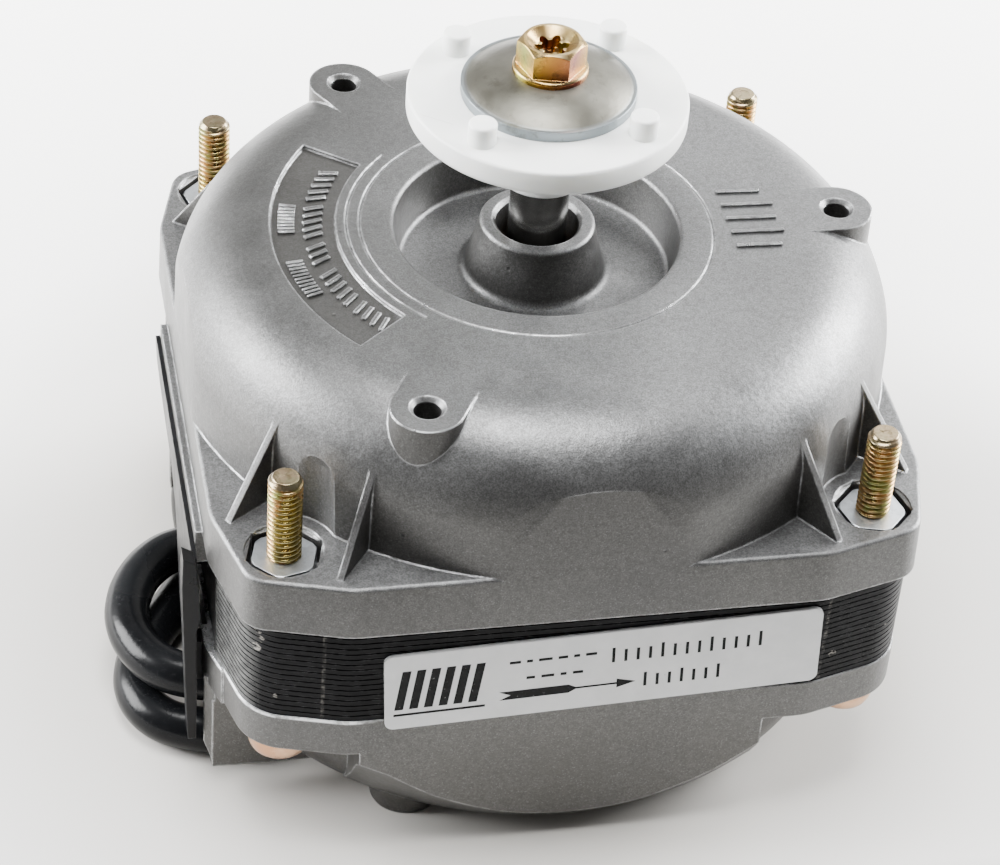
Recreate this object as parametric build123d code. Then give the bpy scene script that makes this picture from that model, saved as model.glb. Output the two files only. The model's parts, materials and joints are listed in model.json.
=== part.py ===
from build123d import *
import math
import os

os.makedirs("parts", exist_ok=True)

# ------------------------------------------------------------------ sizes, mm
# The frame: +Z along the shaft, z = 0 on the rear face that the motor rests on,
# x = y = 0 on the shaft axis. The front (nameplate side) faces -Y and the
# terminal side with the lead faces -X.
half = 42.0            # half the width across the flats of both covers
straight = 27.5        # where the flats start to bevel towards the corners
bevel = 15.0           # degrees that the corners' long bevels turn from the flats
corner_r = 3.6         # corner radius between the two bevels
draft = 1.6            # casting draft on the flanges, degrees

z_rear_flange = 16.4   # underside of the rear cover's flange
z_stack0 = 21.9        # bottom of the laminated stack
z_stack1 = 35.7        # top of the laminated stack
z_flange = 42.8        # top of the front cover's flange
z_dome = 60.2          # flat top of the front dome, and the mounting faces
z_boss = 61.2          # top of the bearing boss

dome_r = 42.9          # rear dome's wall
front_dome_r = 43.0    # front dome's wall below its shoulder
foot_r = 43.3          # and where it meets the flange
front_round = 10.9     # front dome's shoulder radius
rear_round = 8.3       # rear dome's shoulder radius
wall = 2.3             # casting thickness

recess_r0, recess_r1, recess_z = 17.0, 16.3, 54.2   # well around the boss
boss_r0, boss_r1, boss_bore = 8.2, 6.9, 4.96

stud = 34.35           # stud positions, +-x and +-y
stud_r = 2.0           # M4
stud_top = 53.8
stud_core_r = 1.77     # the same thread at its pitch line, inside the nut and below
nut_af, nut_h, nut_top = 7.0, 3.2, 42.2
head_r, head_h = 3.8, 4.2
rear_inset, rear_corner_r = 0.35, 6.5   # the rear flange is a little smaller and rounder
stack_inset = 0.5
pad_x0, pad_x1 = -26.0, 22.4          # the flat pad under the rear flange on the front

ear_pcd_r = 36.9       # three mounting ears, front and rear
ear_r = 4.3
ear_hole_r = 1.6
ear_hole_depth = 5.0

shaft_r = 3.5
journal_clear = 0.02
shaft_mid_r = 4.2
bearing_ball_r = 6.7
front_bearing_z = 51.0
rear_bearing_z = 7.2
bearing_len = 9.0

rotor_r = 19.8
bore_r = 20.2

disc_r, disc_z0, disc_z1 = 16.3, 76.1, 79.3
hub_r, hub_z0 = 5.2, 67.7
washer_r, washer_t, washer_rise = 10.16, 1.2, 1.9

cord_r = 2.8
pocket_x = -29.0       # inner wall face of the cable pocket in the rear cover
pocket_y0, pocket_y1 = -27.2, 19.0
pocket_z = 12.6        # ceiling of the pocket

# ------------------------------------------------------------------ helpers


def cyl(r, z0, z1, x=0.0, y=0.0):
    return Pos(x, y, (z0 + z1) / 2) * Cylinder(r, z1 - z0)


def tube(r1, r0, z0, z1, x=0.0, y=0.0):
    return cyl(r1, z0, z1, x, y) - cyl(r0, z0 - 1, z1 + 1, x, y)


def cone(ra, rb, z0, z1, x=0.0, y=0.0):
    return Pos(x, y, (z0 + z1) / 2) * Cone(ra, rb, z1 - z0)


def block(x0, x1, y0, y1, z0, z1):
    return Pos((x0 + x1) / 2, (y0 + y1) / 2, (z0 + z1) / 2) * Box(x1 - x0, y1 - y0, z1 - z0)


def hexagon(af, z0, z1, x=0.0, y=0.0, turn=0.0):
    return Pos(x, y, z0) * extrude(Rot(0, 0, turn) * RegularPolygon(af / 2, 6, major_radius=False), z1 - z0)


def outline(inset=0.0, round_corner=None):
    """Face on XY: a square with long shallow corner bevels."""
    b = math.radians(bevel)
    h = half - inset
    d = math.cos(b) * half + math.sin(b) * straight - inset
    s = (d - math.cos(b) * h) / math.sin(b)
    t = d / (math.cos(b) + math.sin(b))
    quarter = [(h, s), (t, t), (s, h)]
    pts = []
    for k in range(4):
        for (x, y) in quarter:
            c, q = math.cos(k * math.pi / 2), math.sin(k * math.pi / 2)
            pts.append((x * c - y * q, x * q + y * c))
    face = make_face(Polyline(*pts, close=True))
    r = corner_r - inset if round_corner is None else round_corner
    tips = [v for v in face.vertices() if abs(abs(v.X) - abs(v.Y)) < 1e-6]
    others = [v for v in face.vertices() if abs(abs(v.X) - abs(v.Y)) >= 1e-6]
    face = fillet(tips, max(r, 0.8))
    others = [v for v in face.vertices() if any((v.X - o.X) ** 2 + (v.Y - o.Y) ** 2 < 1e-8 for o in others)]
    return fillet(others, 9.0)


def revolve_profile(points_lines):
    """Revolve a closed list of edges drawn on XZ about Z."""
    return revolve(make_face(points_lines), Axis.Z)


def xz(r, z):
    return (r, 0, z)


def arc_pts(c_r, c_z, r, a0, a1, n=1):
    """Start, middle and end of an arc on the XZ plane, angles in degrees."""
    out = []
    for a in (a0, (a0 + a1) / 2, a1):
        q = math.radians(a)
        out.append(xz(c_r + r * math.cos(q), c_z + r * math.sin(q)))
    return out


def sector(r0, r1, a0, a1, z0, z1):
    """Annular sector, degrees."""
    def p(r, a):
        q = math.radians(a)
        return (r * math.cos(q), r * math.sin(q))
    m = (a0 + a1) / 2
    edges = [ThreePointArc(p(r0, a0), p(r0, m), p(r0, a1)),
             Line(p(r0, a1), p(r1, a1)),
             ThreePointArc(p(r1, a1), p(r1, m), p(r1, a0)),
             Line(p(r1, a0), p(r0, a0))]
    return Pos(0, 0, z0) * extrude(make_face(edges), z1 - z0)


corners = [(-1, -1), (1, -1), (1, 1), (-1, 1)]
ear_angles = [0.0, 120.0, -120.0]
ear_xy = [(ear_pcd_r * math.cos(math.radians(a)), ear_pcd_r * math.sin(math.radians(a))) for a in ear_angles]

# ------------------------------------------------------------------ front cover
grow = math.tan(math.radians(draft)) * (z_flange - z_stack1)
square = Pos(0, 0, z_stack1) * extrude(outline(-grow), 30, taper=draft)
flange = Pos(0, 0, z_stack1) * extrude(outline(-grow), z_flange - z_stack1, taper=draft)
flange = fillet(flange.edges().group_by(Axis.Z)[-1], 0.45)

# dome: wall, shoulder, flat top, well and boss, revolved in one piece
fr = front_round
fd = front_dome_r
dome = revolve_profile([
    Line(xz(boss_bore, 52.0), xz(boss_bore, z_boss - 0.4)),
    Line(xz(boss_bore, z_boss - 0.4), xz(boss_bore + 0.4, z_boss)),
    Line(xz(boss_bore + 0.4, z_boss), xz(boss_r1 - 0.5, z_boss)),
    ThreePointArc(xz(boss_r1 - 0.5, z_boss), xz(boss_r1 - 0.13, z_boss - 0.15), xz(boss_r1, z_boss - 0.5)),
    Line(xz(boss_r1, z_boss - 0.5), xz(boss_r0, recess_z + 1.2)),
    ThreePointArc(xz(boss_r0, recess_z + 1.2), xz(boss_r0 + 0.35, recess_z + 0.35), xz(boss_r0 + 1.2, recess_z)),
    Line(xz(boss_r0 + 1.2, recess_z), xz(recess_r1 - 0.6, recess_z)),
    ThreePointArc(xz(recess_r1 - 0.6, recess_z), xz(recess_r1 - 0.17, recess_z + 0.18), xz(recess_r1, recess_z + 0.6)),
    Line(xz(recess_r1, recess_z + 0.6), xz(recess_r0 - 0.05, z_dome - 0.5)),
    ThreePointArc(xz(recess_r0 - 0.05, z_dome - 0.5), xz(recess_r0 + 0.14, z_dome - 0.14), xz(recess_r0 + 0.5, z_dome)),
    Line(xz(recess_r0 + 0.5, z_dome), xz(fd - fr, z_dome)),
    ThreePointArc(*arc_pts(fd - fr, z_dome - fr, fr, 90, 0)),
    Line(xz(fd, z_dome - fr), xz(fd + 0.15, z_flange + 0.8)),
    Line(xz(fd + 0.15, z_flange + 0.8), xz(foot_r, z_flange)),
    Line(xz(foot_r, z_flange), xz(foot_r, z_stack1 + 1.0)),
    Line(xz(foot_r, z_stack1 + 1.0), xz(dome_r - wall, z_stack1 + 1.0)),
    Line(xz(dome_r - wall, z_stack1 + 1.0), xz(dome_r - wall, z_dome - fr)),
    ThreePointArc(*arc_pts(dome_r - fr, z_dome - fr, fr - wall, 0, 90)),
    Line(xz(dome_r - fr, z_dome - wall), xz(19.3, z_dome - wall)),
    Line(xz(19.3, z_dome - wall), xz(19.3, 52.0)),
    Line(xz(19.3, 52.0), xz(boss_bore, 52.0)),
])
dome = dome & square

body = flange - cyl(dome_r - wall, z_stack1 - 1, z_flange + 1)
# mounting ears: round posts coplanar with the dome's top, with a webbed back
ears = None
for (ex, ey), a in zip(ear_xy, ear_angles):
    post = cyl(ear_r, 46.0, z_dome, ex, ey)
    web = Pos(0, 0, 46.0) * extrude(Rot(0, 0, a) * (Pos(ear_pcd_r - 3.6, 0) * Rectangle(7.2, 2 * ear_r)), z_dome - 46.0)
    ears = post + web if ears is None else ears + post + web
ears = ears - cyl(dome_r - fr - 0.5, 40, 70)
inner_dome = revolve_profile([
    Line(xz(0, 40), xz(dome_r - wall, 40)),
    Line(xz(dome_r - wall, 40), xz(dome_r - wall, z_dome - fr)),
    ThreePointArc(*arc_pts(dome_r - fr, z_dome - fr, fr - wall, 0, 90)),
    Line(xz(dome_r - fr, z_dome - wall), xz(0, z_dome - wall)),
    Line(xz(0, z_dome - wall), xz(0, 40)),
])
ear_roots = None
for (ex, ey) in ear_xy:
    root = cyl(ear_r, z_dome - 11.5, z_dome - 1, ex, ey)
    ear_roots = root if ear_roots is None else ear_roots + root

body = body + dome + (ears & square)
# solid root inside the shoulder below each blind hole
body = body + (ear_roots & square)

# corner ribs, two beside each stud, tapering from the shoulder to the flange
rib_t = 0.85
for k, (sx, sy) in enumerate(corners):
    diag = math.degrees(math.atan2(sy, sx))
    for off in (-9.2, 9.2):
        prof = make_face([Line(xz(38.0, z_flange - 0.6), xz(49.3, z_flange - 0.6)),
                          Line(xz(49.3, z_flange - 0.6), xz(49.3, z_flange + 0.15)),
                          Line(xz(49.3, z_flange + 0.15), xz(41.6, 54.3)),
                          Line(xz(41.6, 54.3), xz(38.0, 54.3)),
                          Line(xz(38.0, 54.3), xz(38.0, z_flange - 0.6))])
        rib = extrude(prof, rib_t / 2, both=True)
        rib = Rot(0, 0, diag + off) * rib
        body = body + (rib - inner_dome)

# driver clearance beside each stud, cut into the wall
for sx, sy in corners:
    x, y = sx * stud, sy * stud
    scoop = Pos(x, y, 0) * (cyl(6.2, z_flange, 51.0) + Pos(0, 0, 51.0) * Sphere(6.2))
    skin = cyl(dome_r - wall + 0.9, 40, 58)
    body = body - (scoop - skin)
for k, (sx, sy) in enumerate(corners):
    x, y = sx * stud, sy * stud
    body = body - hexagon(8.1, nut_top - nut_h, 46, x, y, 15 + 90 * k)
    body = body - cyl(4.5, z_flange - 0.35, 44, x, y)
    body = body - cyl(stud_r + 0.25, 30, 46, x, y)

# bearing housing inside, with a ball seat at its top
body = body + tube(12.6, 10.4, 45.2, 53.0)
body = body + tube(19.3, 9.0, recess_z - wall, recess_z - 0.2)
seat = cyl(10.5, 51.0, recess_z - 0.3) - cyl(boss_bore, 50, 60)
body = body + seat
body = body - Pos(0, 0, front_bearing_z) * Sphere(bearing_ball_r)
body = body - cyl(10.4, 44.0, 51.0)
body = body - cyl(boss_bore, 50.0, 62.0)

# ear holes, blind, with a conical mouth
for (ex, ey) in ear_xy:
    body = body - cyl(ear_hole_r, z_dome - ear_hole_depth, z_dome + 1, ex, ey)
    body = body - cone(ear_hole_r, 2.05, z_dome - 0.45, z_dome + 0.001, ex, ey)

# rating panel sunk in the dome's top, left bare, and two scribed circles
body = body - sector(23.9, 31.6, 143, 220, z_dome - 0.45, z_dome + 1)
body = body - (tube(22.75, 22.55, z_dome - 0.12, z_dome + 1) - sector(20, 25, -135, 135, 50, 70))
body = body - tube(21.15, 20.95, z_dome - 0.1, z_dome + 1)
# skirt on the terminal side, over the top of the lid's back
skirt = block(-43.1, -41.2, -23.0, 16.0, 31.6, z_stack1 + 0.6)
body = body + skirt
front_cover = body

# ------------------------------------------------------------------ rear cover
rr = rear_round
rear_out = outline(rear_inset, rear_corner_r)
rear_square = Pos(0, 0, -2) * extrude(rear_out, z_stack0 + 2)
rflange = Pos(0, 0, z_rear_flange) * extrude(rear_out, z_stack0 - z_rear_flange)
rflange = fillet(rflange.edges().group_by(Axis.Z)[0], 0.35)
rdome = revolve_profile([
    Line(xz(0, 0), xz(dome_r - rr, 0)),
    ThreePointArc(*arc_pts(dome_r - rr, rr, rr, -90, 0)),
    Line(xz(dome_r, rr), xz(dome_r, z_stack0 - 1.0)),
    Line(xz(dome_r, z_stack0 - 1.0), xz(dome_r - wall, z_stack0 - 1.0)),
    Line(xz(dome_r - wall, z_stack0 - 1.0), xz(dome_r - wall, rr)),
    ThreePointArc(*arc_pts(dome_r - rr, rr, rr - wall, 0, -90)),
    Line(xz(dome_r - rr, wall), xz(0, wall)),
    Line(xz(0, wall), xz(0, 0)),
])
rbody = (rflange - cyl(dome_r - wall, z_rear_flange - 1, z_stack0 + 1)) + (rdome & rear_square)
for (ex, ey), a in zip(ear_xy, ear_angles):
    post = cyl(ear_r, 0, 12.0, ex, ey)
    web = extrude(Rot(0, 0, a) * (Pos(ear_pcd_r - 3.6, 0) * Rectangle(7.2, 2 * ear_r)), 12.0)
    ear = (post + web) - cyl(dome_r - rr - 1.5, -1, 20)
    rbody = rbody + (ear & rear_square)
# flat pads flush with the flange on three sides, their undersides flared out from the dome
flare = revolve_profile([
    Line(xz(0, 2.0), xz(40.4, 2.0)),
    Line(xz(40.4, 2.0), xz(42.3, 4.4)),
    Line(xz(42.3, 4.4), xz(44.9, 8.4)),
    Line(xz(44.9, 8.4), xz(47.3, 12.6)),
    Line(xz(47.3, 12.6), xz(49.3, 15.0)),
    Line(xz(49.3, 15.0), xz(52.0, z_rear_flange + 0.8)),
    Line(xz(52.0, z_rear_flange + 0.8), xz(0, z_rear_flange + 0.8)),
    Line(xz(0, z_rear_flange + 0.8), xz(0, 2.0)),
])
pad_face = half - rear_inset
pads = block(pad_x0, pad_x1, -pad_face, -30, 0, 20) + block(30, pad_face, -22, 22, 0, 20) + block(-22, 22, 30, pad_face, 0, 20)
rbody = rbody + ((pads & flare) - cyl(dome_r - wall, -1, 30))
# bearing housing
rbody = rbody + tube(12.6, 10.4, wall - 0.2, 12.4)
rbody = rbody + cyl(10.5, wall - 0.2, rear_bearing_z)
rbody = rbody - Pos(0, 0, rear_bearing_z) * Sphere(bearing_ball_r)
rbody = rbody - cyl(10.4, rear_bearing_z, 13.0)
rbody = rbody - cyl(4.4, 1.4, 8.0)
for (ex, ey) in ear_xy:
    rbody = rbody - cyl(ear_hole_r, -1, 9.0, ex, ey)
    rbody = rbody - cone(2.05, ear_hole_r, -0.001, 0.45, ex, ey)
# cable pocket on the terminal side: ceiling, front wall, back wall and inner wall
pocket_box = block(-60, pocket_x, pocket_y0, pocket_y1, -5, pocket_z)
shell_box = block(-41.6, pocket_x + 1.5, pocket_y0 - 1.3, pocket_y1 + 1.4, 0.6, pocket_z + 1.5)
shell_box = shell_box - block(-60, 0, -60, -20, -5, 3.0)
# the flange stands out at the terminal side's front corner
horn = make_face(Polyline((-42.4, -23.4), (-42.4, -26.2), (-42.1, -27.6), (-41.3, -30.2), (-40.9, -31.3), (-38.5, -31.3), (-38.5, -23.4),
                          close=True))
rbody = rbody + Pos(0, 0, z_rear_flange) * extrude(horn, z_stack0 - z_rear_flange)
pocket_front = block(-42.5, -30.0, pocket_y0 - 1.3, pocket_y0 + 0.1, 3.0, z_rear_flange + 1)
pocket_front = chamfer(pocket_front.edges().filter_by(Axis.Z).group_by(Axis.X)[0].sort_by(Axis.Y)[0], 1.2)
corner_cut = extrude(make_face(Polyline((-43, 7.4), (-42.5, 6.4), (-41.2, 3.0), (-41.0, 2.4), (-43, 2.4), close=True)), 40, both=True)
pocket_front = pocket_front - Rot(90, 0, 0) * corner_cut
rbody = rbody + (pocket_front & block(-60, 60, -60, 60, 0, z_rear_flange + 1))
rbody = rbody + (shell_box - cyl(26.5, -5, 40))
rbody = rbody - pocket_box
# lowest part of the pocket's back wall is open for the lead
rbody = rbody - block(-60, -33.5, 15.0, 40.0, -5, 6.6)
# gland hole in the inner wall
gland_y, gland_z = -19.6, 8.7
rbody = rbody - Pos(pocket_x + 0.7, gland_y, gland_z) * (Rot(0, 90, 0) * Cylinder(3.4, 8))
# bolt holes
for sx, sy in corners:
    rbody = rbody - cyl(stud_r + 0.25, 10, 30, sx * stud, sy * stud)
rear_cover = rbody

# ------------------------------------------------------------------ stator stack
stack_out = outline(stack_inset, rear_corner_r)
plate = Pos(0, 0, z_stack0) * extrude(stack_out, z_stack1 - z_stack0)
# the terminal side is cut back for the lid
plate = plate - block(-60, -41.2, -60, 60, 0, 60)
# slot windows between the four poles
window = None
pole_w, shoe_r, yoke_r = 13.0, 24.2, 33.6
core = cyl(yoke_r, z_stack0 - 1, z_stack1 + 1) - cyl(shoe_r, z_stack0 - 2, z_stack1 + 2)
core = core - block(-60, 60, -pole_w / 2, pole_w / 2, 0, 60) - block(-pole_w / 2, pole_w / 2, -60, 60, 0, 60)
plate = plate - core - cyl(bore_r, 0, 60)
# gaps between the shoes, and the slots that the shading rings pass through
for k in range(4):
    gap = Rot(0, 0, 45 + 90 * k) * block(15, 26.0, -1.4, 1.4, 0, 60)
    slit = Rot(0, 0, 90 * k + 19.0) * block(18, shoe_r - 1.4, -0.75, 0.75, 0, 60)
    plate = plate - gap - slit
# lamination lines all round the outside
lam = 0.8
n_lam = int(round((z_stack1 - z_stack0) / lam))
pitch = (z_stack1 - z_stack0) / n_lam
inner_limit = extrude(outline(stack_inset + 0.2, rear_corner_r), 70) & block(-40.98, 60, -60, 60, 0, 60)
lines = None
for i in range(1, n_lam):
    z = z_stack0 + i * pitch
    plate = plate - (block(-60, 60, -60, 60, z - 0.09, z + 0.09) - inner_limit)
for sx, sy in corners:
    plate = plate - cyl(stud_r + 0.2, 10, 60, sx * stud, sy * stud)
stator_stack = plate

# ------------------------------------------------------------------ windings
def rounded_ring(y_in, z_in, y_out, z_out, x0, x1, r_in, r_out):
    """Ring around a pole along +X: window y_in x z_in, outside y_out x z_out."""
    zc = (z_stack0 + z_stack1) / 2
    a = Plane.YZ * RectangleRounded(y_out, z_out, r_out)
    b = Plane.YZ * RectangleRounded(y_in, z_in, r_in)
    s = extrude(a, x1 - x0) - extrude(b, x1 - x0)
    return Pos(x0, 0, zc) * s


stack_h = z_stack1 - z_stack0
bob_y, bob_z = pole_w + 0.3, stack_h + 0.3
wind_y, wind_z = 26.0, 26.6
bobbin0 = rounded_ring(bob_y, bob_z, bob_y + 2.0, bob_z + 2.0, 24.6, 33.2, 0.3, 0.8) \
    + rounded_ring(bob_y, bob_z, wind_y + 1.4, wind_z + 1.4, 24.6, 25.6, 0.3, 2.5)  \
    + rounded_ring(bob_y, bob_z, wind_y + 1.4, wind_z + 1.4, 32.2, 33.2, 0.3, 2.5)
winding0 = rounded_ring(bob_y + 2.0, bob_z + 2.0, wind_y, wind_z, 25.6, 32.2, 0.8, 3.6)
# the yoke's round window trims the back corners between the stack's faces
room = cyl(yoke_r - 0.15, z_stack0 - 0.1, z_stack1 + 0.1)
band = block(-60, 60, -60, 60, z_stack0 - 0.1, z_stack1 + 0.1) - room
bobbin0 = bobbin0 - band
winding0 = winding0 - band
names = ["right", "back", "left", "front"]
bobbins = {n: Rot(0, 0, 90 * k) * bobbin0 for k, n in enumerate(names)}
windings = {n: Rot(0, 0, 90 * k) * winding0 for k, n in enumerate(names)}

# shading rings: one closed copper loop round each trailing pole tip
rings = None
ring_t = 1.1
for k in range(4):
    leg_a = Rot(0, 0, 19.0) * block(bore_r + 0.3, bore_r + 1.8, -0.6, 0.6, z_stack0 - ring_t, z_stack1 + ring_t)
    leg_b = Rot(0, 0, 45.0) * block(bore_r + 0.3, bore_r + 1.8, -1.4, -0.4, z_stack0 - ring_t, z_stack1 + ring_t)
    cap = sector(bore_r + 0.3, bore_r + 1.8, 18.0, 43.3, z_stack1, z_stack1 + ring_t)
    cap = cap + sector(bore_r + 0.3, bore_r + 1.8, 18.0, 43.3, z_stack0 - ring_t, z_stack0)
    loop = Rot(0, 0, 90 * k) * (leg_a + leg_b + cap)
    rings = loop if rings is None else rings + loop
shading_rings = rings

# ------------------------------------------------------------------ rotor
n_bar = 17
rotor_core = cyl(rotor_r, z_stack0, z_stack1) - cyl(shaft_mid_r, 0, 60)
cage = tube(18.8, 12.4, z_stack1, z_stack1 + 3.8) + tube(18.8, 12.4, z_stack0 - 3.8, z_stack0)
for i in range(n_bar):
    a = 2 * math.pi * i / n_bar
    x, y = 16.9 * math.cos(a), 16.9 * math.sin(a)
    rotor_core = rotor_core - cyl(1.35, 0, 60, x, y)
    cage = cage + cyl(1.35, z_stack0 - 1, z_stack1 + 1, x, y)
# small cooling blades cast on the front ring
for i in range(8):
    blade = Rot(0, 0, 45 * i) * block(13.4, 18.0, -0.6, 0.6, z_stack1 + 3.6, z_stack1 + 6.4)
    cage = cage + blade
rotor_cage = cage

shoulder0, shoulder1 = 12.8, 45.4
shaft = cyl(shaft_r, 3.2, 77.6) + cyl(shaft_mid_r, shoulder0, shoulder1)
shaft = shaft - (tube(6, shaft_r - 0.4, 3.2, 3.6) - cone(shaft_r - 0.4, shaft_r, 3.2, 3.6))
# flat that drives the adapter, and the tapped end for its screw
flat = block(-10, 10, shaft_r - 0.7, 10, hub_z0 + 0.6, 80)
shaft = shaft - flat
shaft = shaft - cyl(2.0, 66.0, 80)

def bearing(zc):
    b = Pos(0, 0, zc) * Sphere(bearing_ball_r)
    b = b & block(-20, 20, -20, 20, zc - bearing_len / 2, zc + bearing_len / 2)
    return b - cyl(shaft_r + journal_clear, 0, 70)


front_bearing = bearing(front_bearing_z)
rear_bearing = bearing(rear_bearing_z)
touch = math.sqrt(bearing_ball_r ** 2 - 5.3 ** 2)


def retainer(z0, z1):
    r = tube(10.4, 5.3, z0, z1)
    for i in range(6):
        r = r - (Rot(0, 0, 60 * i) * block(6.2, 9.0, -0.7, 0.7, z0 - 1, z1 + 1))
    return r


front_retainer = retainer(front_bearing_z - touch - 0.6, front_bearing_z - touch)
rear_retainer = retainer(rear_bearing_z + touch, rear_bearing_z + touch + 0.6)
front_felt = tube(10.3, 6.95, front_bearing_z - touch + 0.15, 50.8)
rear_felt = tube(10.3, 6.95, rear_bearing_z + 0.2, rear_bearing_z + touch - 0.15)
front_thrust_washer = tube(5.0, shaft_r, shoulder1, shoulder1 + 0.7)
rear_thrust_washer = tube(5.0, shaft_r, shoulder0 - 0.7, shoulder0)

# ------------------------------------------------------------------ fasteners
bolts, nuts = None, None
for k, (sx, sy) in enumerate(corners):
    x, y = sx * stud, sy * stud
    rod = cyl(stud_core_r, z_rear_flange - 0.5, nut_top + 1.0, x, y) + cyl(stud_r, nut_top + 0.05, stud_top - 0.5, x, y) \
        + cone(stud_r, stud_r - 0.5, stud_top - 0.5, stud_top, x, y)
    head = cyl(head_r, z_rear_flange - head_h, z_rear_flange, x, y)
    head = fillet(head.edges().group_by(Axis.Z)[0], 1.3)
    rod = head + rod
    rod = rod - (Pos(x, y, 0) * Rot(0, 0, 45) * (block(-1.9, 1.9, -0.45, 0.45, 10, z_rear_flange - head_h + 1.1)
                                                 + block(-0.45, 0.45, -1.9, 1.9, 10, z_rear_flange - head_h + 1.1)))
    bolts = rod if bolts is None else bolts + rod
    n = hexagon(nut_af, nut_top - nut_h, nut_top, x, y, 15 + 90 * k)
    n = n & (cone(2.9, 4.3, nut_top - nut_h - 0.9, nut_top - nut_h + 0.5, x, y) + cyl(4.3, nut_top - nut_h + 0.5, nut_top - 0.55, x, y)
             + cone(4.3, 2.95, nut_top - 0.55, nut_top + 0.8, x, y))
    n = n - cyl(stud_core_r, 30, 50, x, y)
    nuts = n if nuts is None else nuts + n
through_bolts = bolts
bolt_nuts = nuts

# ------------------------------------------------------------------ fan adapter
adapter = cyl(disc_r, disc_z0, disc_z1)
adapter = fillet(adapter.edges().group_by(Axis.Z)[0], 0.9)
adapter = fillet(adapter.edges().group_by(Axis.Z)[-1], 0.35)
hub = cyl(hub_r, hub_z0, disc_z0 + 0.5)
hub = fillet(hub.edges().group_by(Axis.Z)[0], 0.5)
adapter = adapter + hub
pin_r, pin_h, pin_ring, pin_turn = 1.65, 2.6, 13.1, -0.9
for i in range(4):
    a = math.radians(45 + 90 * i + pin_turn)
    pin = cyl(pin_r, disc_z1 - 0.5, disc_z1 + pin_h, pin_ring * math.cos(a), pin_ring * math.sin(a))
    pin = fillet(pin.edges().group_by(Axis.Z)[-1], 0.3)
    adapter = adapter + pin
hole = cyl(shaft_r, hub_z0 - 1, 77.6) - block(-10, 10, shaft_r - 0.7, 10, hub_z0 + 0.6, 80)
adapter = adapter - hole - cyl(2.0, 70, 90)
fan_adapter = adapter
# domed spring washer: its rim lies on the disc and its middle stands clear of it
zr, wt = disc_z1, washer_t
washer_lift = disc_z1 + washer_rise
adapter_washer = revolve_profile([
    Line(xz(2.15, washer_lift), xz(4.6, washer_lift)),
    ThreePointArc(xz(4.6, washer_lift), xz(7.4, zr + washer_rise * 0.62), xz(9.6, zr)),
    Line(xz(9.6, zr), xz(washer_r, zr)),
    Line(xz(washer_r, zr), xz(washer_r, zr + wt)),
    Line(xz(washer_r, zr + wt), xz(9.7, zr + wt)),
    ThreePointArc(xz(9.7, zr + wt), xz(7.45, zr + wt + washer_rise * 0.62), xz(4.6, washer_lift + wt)),
    Line(xz(4.6, washer_lift + wt), xz(2.15, washer_lift + wt)),
    Line(xz(2.15, washer_lift + wt), xz(2.15, washer_lift)),
])
zw = washer_lift + wt
screw = cyl(4.4, zw, zw + 0.75)
screw = fillet(screw.edges().group_by(Axis.Z)[-1], 0.35)
hexhead = hexagon(7.0, zw + 0.5, zw + 4.0, 0, 0, -12)
hexhead = hexhead & (cyl(4.2, zw, zw + 3.4) + cone(4.2, 3.3, zw + 3.4, zw + 4.05))
screw = screw + hexhead
screw = screw + cyl(2.0, 67.5, zw + 0.6)
# six-lobed drive recess in a dished head
screw = screw - cone(1.7, 3.0, zw + 3.1, zw + 4.01)
star = cyl(1.3, zw + 1.7, zw + 3.6)
for i in range(6):
    a = math.radians(60 * i)
    star = star + cyl(0.52, zw + 1.7, zw + 3.6, 1.5 * math.cos(a), 1.5 * math.sin(a))
screw = screw - star
adapter_screw = screw

# ------------------------------------------------------------------ label
lab_w, lab_h, lab_tilt = 51.4, 11.6, 2.5
lab_x, lab_z = 2.2, 27.35
lab = extrude(Plane.XZ * RectangleRounded(lab_w, lab_h, 1.1), 0.45)
lab = Pos(lab_x, -(half - stack_inset), lab_z) * (Rot(0, -lab_tilt, 0) * lab)
label = lab - stator_stack - rear_cover - front_cover

# ------------------------------------------------------------------ terminal lid
lid_x0, lid_x1 = -43.65, -43.1
lid_yz = [(-25.3, 34.2), (16.5, 34.2), (16.4, 33.0), (15.0, 31.5), (11.4, 30.4), (5.4, 29.7), (-1.6, 29.2), (-3.9, 27.9),
          (-6.2, 26.6), (-8.4, 23.7), (-9.5, 20.5), (-11.0, 16.0), (-14.0, 12.4), (-25.3, 12.4)]
lid = extrude(Plane.YZ * make_face(Polyline(*lid_yz, close=True)), lid_x1 - lid_x0)
lid = Pos(lid_x0, 0, 0) * lid
# its front end: a tall strip with an angled head
end_xz = [(-44.95, 36.2), (-43.5, 35.3), (-42.9, 26.7), (-43.42, 24.4), (-43.33, 13.7), (-43.42, 7.1), (-44.4, 7.1), (-44.64, 13.8),
          (-44.9, 24.0), (-45.08, 31.7)]
front_end = extrude(make_face(Polyline(*end_xz, close=True)), 2.3)
front_end = Pos(0, -25.2, 0) * Rot(90, 0, 0) * front_end
lid = lid + front_end
lid = lid + block(-43.2, -41.2, -14.0, -11.5, 23.0, 30.0) + block(-43.2, -41.2, -24.4, -22.0, 14.0, 20.0)
terminal_lid = lid - rear_cover - front_cover

# ------------------------------------------------------------------ cable gland
def xcyl(r, x0, x1, y, z):
    return Pos((x0 + x1) / 2, y, z) * (Rot(0, 90, 0) * Cylinder(r, x1 - x0))


gland_x = -33.4
gland = xcyl(3.4, pocket_x, pocket_x + 2.6, gland_y, gland_z) \
    + xcyl(3.75, pocket_x + 1.55, pocket_x + 2.6, gland_y, gland_z) \
    + xcyl(3.75, pocket_x - 1.2, pocket_x, gland_y, gland_z) \
    + (Pos((gland_x + pocket_x - 1.2) / 2, gland_y, gland_z) * (Rot(0, 90, 0) * Cone(3.0, 3.6, pocket_x - 1.2 - gland_x)))
cord_gland = gland - rear_cover

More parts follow.
